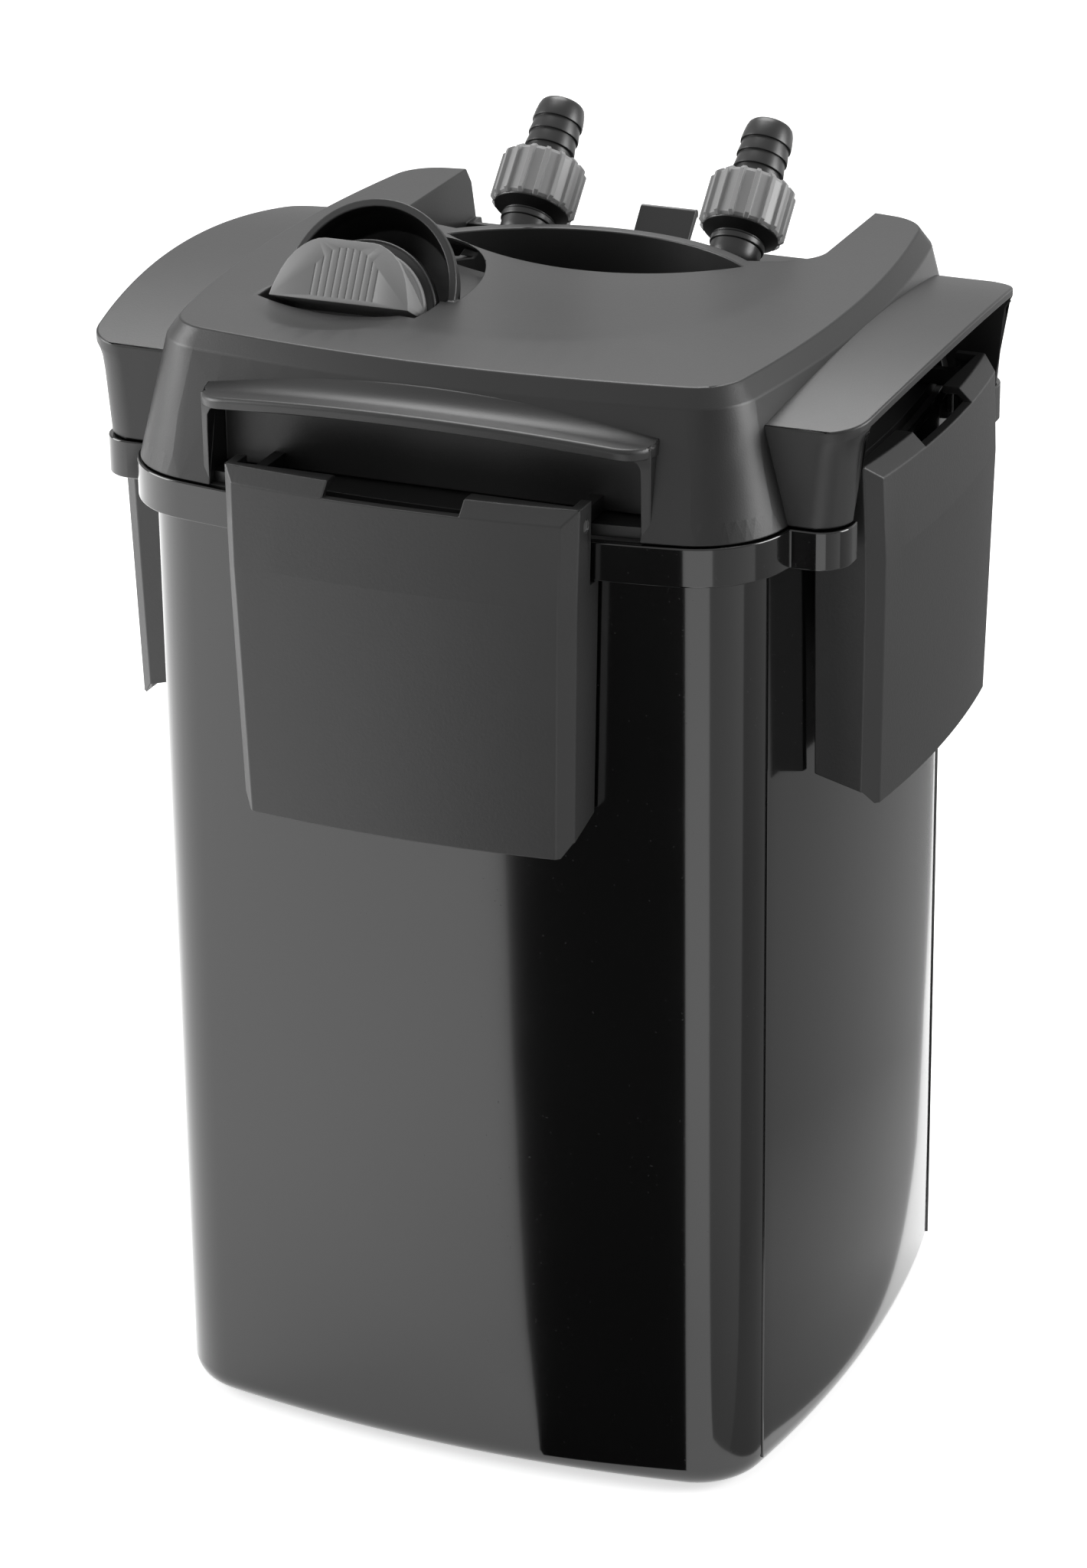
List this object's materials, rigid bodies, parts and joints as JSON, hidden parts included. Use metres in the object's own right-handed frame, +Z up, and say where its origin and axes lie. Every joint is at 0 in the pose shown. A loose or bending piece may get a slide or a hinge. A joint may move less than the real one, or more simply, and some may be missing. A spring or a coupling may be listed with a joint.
{
  "type": "canister filter",
  "caption": "Square canister filter: glossy box with a clamped head, side latches, flow knob, finger recess and two leaning hose connectors over filter baskets, with its pump inside.",
  "frame": {"origin": "middle of the footprint, on the surface that the rubber feet stand on", "axes": "+X to the right, +Y to the rear where the hoses leave, +Z up"},
  "size_m": [0.29, 0.2872, 0.4375],
  "materials": {
    "canister_gloss": "high gloss",
    "rubber": "matt",
    "basket_plastic": "fine satin",
    "sponge": "open-cell foam",
    "filter_media": "porous",
    "head_plastic": "satin with a fine grain",
    "latch_plastic": "satin with a fine grain",
    "steel": "brushed",
    "knob_grey": "satin",
    "black_plastic": "satin",
    "nut_grey": "satin",
    "core_steel": "laminated",
    "copper": "enamelled wire",
    "magnet": "ground",
    "ceramic": "polished"
  },
  "bodies": {
    "casing": {"ball_media": "filter_media", "basket_1": "basket_plastic", "basket_2": "basket_plastic", "basket_3": "basket_plastic", "basket_4": "basket_plastic", "basket_lid": "basket_plastic", "cable_gland": "rubber", "canister": "canister_gloss", "canister_seal": "rubber", "coarse_sponge": "sponge", "cover_screws": "steel", "down_pipe": "basket_plastic", "fine_sponge": "sponge", "front_visor": "head_plastic", "head_base": "head_plastic", "head_cover": "head_plastic", "hose_block": "black_plastic", "hose_block_seals": "rubber", "hose_tail_inlet": "black_plastic", "hose_tail_outlet": "black_plastic", "impeller_shaft": "ceramic", "knob_seal": "rubber", "latch_brackets": "head_plastic", "latch_pins": "steel", "motor_cap": "black_plastic", "motor_housing": "black_plastic", "motor_screws": "steel", "pump_cover": "black_plastic", "pump_cover_screws": "steel", "pump_cover_seal": "rubber", "ring_media": "filter_media", "rubber_feet": "rubber", "shaft_bushes": "ceramic", "side_hood_left": "head_plastic", "side_hood_right": "head_plastic", "stator_coils": "copper", "stator_core": "core_steel", "tail_washers": "rubber"},
    "latch_front_body": {"latch_front": "latch_plastic"},
    "latch_right_body": {"latch_right": "latch_plastic"},
    "latch_rear_body": {"latch_rear": "latch_plastic"},
    "latch_left_body": {"latch_left": "latch_plastic"},
    "knob": {"control_knob": "knob_grey", "knob_spindle": "black_plastic"},
    "inlet_nut": {"union_nut_inlet": "nut_grey"},
    "outlet_nut": {"union_nut_outlet": "nut_grey"},
    "release": {"release_slide": "black_plastic"},
    "rotor": {"rotor_magnet": "magnet", "impeller": "black_plastic"}
  },
  "joints": [
    {"name": "latch_front_hinge", "type": "hinge", "parent": "casing", "child": "latch_front_body", "pos_m": [0, -0.128, 0.364], "axis": [-1, 0, 0], "range_deg": [0, 75]},
    {"name": "latch_right_hinge", "type": "hinge", "parent": "casing", "child": "latch_right_body", "pos_m": [0.128, 0, 0.364], "axis": [0, -1, 0], "range_deg": [0, 75]},
    {"name": "latch_rear_hinge", "type": "hinge", "parent": "casing", "child": "latch_rear_body", "pos_m": [0, 0.128, 0.364], "axis": [1, 0, 0], "range_deg": [0, 75]},
    {"name": "latch_left_hinge", "type": "hinge", "parent": "casing", "child": "latch_left_body", "pos_m": [-0.128, 0, 0.364], "axis": [0, 1, 0], "range_deg": [0, 75]},
    {"name": "knob_turn", "type": "hinge", "parent": "casing", "child": "knob", "pos_m": [-0.0555, -0.06, 0.404], "axis": [0, -0.866, 0.5], "range_deg": [-45, 45]},
    {"name": "inlet_nut_turn", "type": "hinge", "parent": "casing", "child": "inlet_nut", "pos_m": [-0.04, 0.07744, 0.40893], "axis": [0, 0.7071, 0.7071], "continuous": true},
    {"name": "outlet_nut_turn", "type": "hinge", "parent": "casing", "child": "outlet_nut", "pos_m": [0.04, 0.07744, 0.40893], "axis": [0, 0.7071, 0.7071], "continuous": true},
    {"name": "release_push", "type": "slide", "parent": "casing", "child": "release", "axis": [0, -1, 0], "range_m": [0, 0.005]},
    {"name": "rotor_spin", "type": "hinge", "parent": "casing", "child": "rotor", "pos_m": [0.022, -0.026, 0.35], "axis": [0, 0, 1], "continuous": true}
  ]
}
